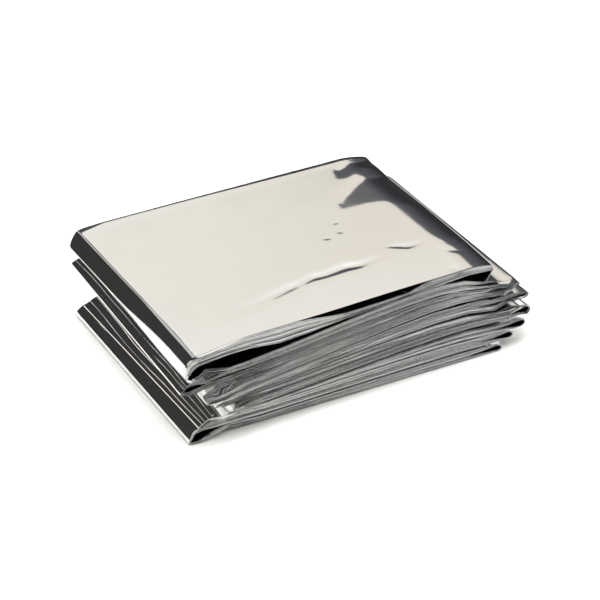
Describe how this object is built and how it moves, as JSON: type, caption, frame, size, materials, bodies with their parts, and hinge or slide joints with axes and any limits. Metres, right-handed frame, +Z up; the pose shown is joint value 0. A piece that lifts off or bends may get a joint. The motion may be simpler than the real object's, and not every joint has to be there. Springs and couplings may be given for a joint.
{
  "type": "folded emergency foil blanket",
  "caption": "Emergency blanket of thin metallised film, pleated and folded back and forth into a low flat packet with staggered folds.",
  "frame": {"origin": "middle of the packet's box in plan, on the surface that it lies on", "axes": "+X along the strip, from the left folds to the right folds; +Y from the front pleats to the back ones; +Z up through the stack of layers"},
  "size_m": [0.1242, 0.0864, 0.031],
  "materials": {
    "metallised_film": "mirror-bright metallised polyester film with fine creases"
  },
  "bodies": {
    "root": {"foil_blanket": "metallised_film"}
  },
  "joints": []
}
